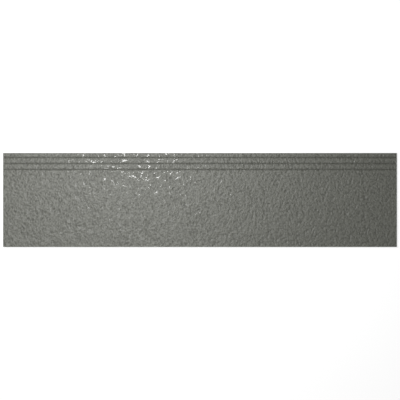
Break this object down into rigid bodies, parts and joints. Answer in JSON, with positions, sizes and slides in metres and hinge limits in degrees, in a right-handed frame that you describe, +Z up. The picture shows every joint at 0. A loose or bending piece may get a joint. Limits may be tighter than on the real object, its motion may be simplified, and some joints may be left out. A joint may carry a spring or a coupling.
{
  "type": "stair tread",
  "caption": "Long flat stoneware tread slab with a dark glazed hammered walking face, anti-slip grooves along the front edge and a keyed underside.",
  "frame": {"origin": "middle of the underside", "axes": "+X along the tread, -Y to the grooved front edge, +Z up out of the walking face"},
  "size_m": [1.198, 0.286, 0.01],
  "materials": {
    "glazed_stoneware": "satin"
  },
  "bodies": {
    "root": {"stair_tread": "glazed_stoneware"}
  },
  "joints": []
}
